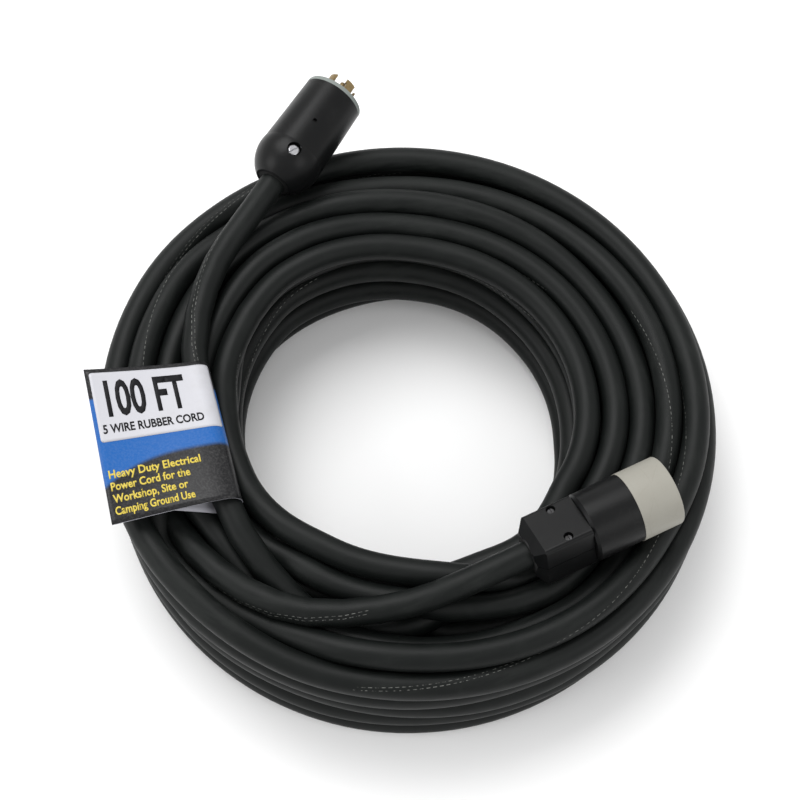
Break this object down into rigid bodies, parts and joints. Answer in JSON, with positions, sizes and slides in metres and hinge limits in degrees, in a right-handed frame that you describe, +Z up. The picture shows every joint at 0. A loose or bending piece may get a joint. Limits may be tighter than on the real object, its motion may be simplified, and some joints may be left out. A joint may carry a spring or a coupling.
{
  "type": "shore power cord",
  "caption": "Coiled heavy power cord with a locking blade plug, a locking connector with a clamp, and a folded card label on one lead.",
  "frame": {"origin": "on the floor, under the middle of the whole set's bounding box", "axes": "+Z up out of the floor, the coil lying flat; +Y towards the plug's side, along the set's longest extent; +X to the right as seen from the label's reading side"},
  "size_m": [0.4695, 0.5016, 0.1486],
  "materials": {
    "black_moulding": "satin black moulding with soft edge highlights",
    "grey_face": "satin mid-grey moulding",
    "ivory_face": "satin ivory moulding, slightly yellowed",
    "carrier_moulding": "matt dark grey moulding",
    "aged_brass": "dull brass with handling marks",
    "insert_brass": "turned brass",
    "terminal_steel": "zinc-plated steel",
    "plated_steel": "bright nickel-plated steel",
    "dark_steel": "blackened steel, worn bright on its edges",
    "grommet_rubber": "matt black rubber",
    "cord_jacket": "satin black rubber jacket with faint printed legends",
    "printed_card": "printed card: black ends, a blue band and rows of yellow lettering",
    "white_sticker": "white paper with black lettering",
    "wire_black": "satin insulation",
    "wire_red": "satin insulation",
    "wire_blue": "satin insulation",
    "wire_white": "satin insulation",
    "wire_green": "satin insulation"
  },
  "bodies": {
    "cord_set": {"plug_housing": "black_moulding", "plug_face": "grey_face", "plug_contact_carrier": "carrier_moulding", "plug_blade_x": "aged_brass", "plug_blade_y": "aged_brass", "plug_blade_z": "aged_brass", "plug_blade_neutral": "aged_brass", "plug_ground_pin": "aged_brass", "plug_terminal_screws": "terminal_steel", "plug_pressure_plates": "terminal_steel", "plug_assembly_screws": "plated_steel", "plug_clamp_saddle": "black_moulding", "plug_clamp_screw": "plated_steel", "plug_clamp_insert": "insert_brass", "plug_cord_grommet": "grommet_rubber", "plug_wire_black": "wire_black", "plug_wire_red": "wire_red", "plug_wire_blue": "wire_blue", "plug_wire_white": "wire_white", "plug_wire_green": "wire_green", "connector_housing": "black_moulding", "connector_clamp_cover": "black_moulding", "connector_front": "ivory_face", "connector_contact_carrier": "carrier_moulding", "connector_contact_x": "aged_brass", "connector_contact_y": "aged_brass", "connector_contact_z": "aged_brass", "connector_contact_neutral": "aged_brass", "connector_ground_contact": "aged_brass", "connector_terminal_screws": "terminal_steel", "connector_pressure_plates": "terminal_steel", "connector_assembly_screws": "plated_steel", "connector_clamp_screws": "dark_steel", "connector_clamp_nuts": "dark_steel", "connector_cord_grommet": "grommet_rubber", "connector_wire_black": "wire_black", "connector_wire_red": "wire_red", "connector_wire_blue": "wire_blue", "connector_wire_white": "wire_white", "connector_wire_green": "wire_green", "cord_plug_lead": "cord_jacket", "cord_connector_lead": "cord_jacket", "cord_coil": "cord_jacket"},
    "label": {"label_card": "printed_card", "label_sticker": "white_sticker"}
  },
  "joints": [
    {"name": "label_swing", "type": "hinge", "parent": "cord_set", "child": "label", "pos_m": [-0.16208, 0.00645, 0.1098], "axis": [-0.2619, 0.9651, 0], "range_deg": [-3, 125]}
  ]
}
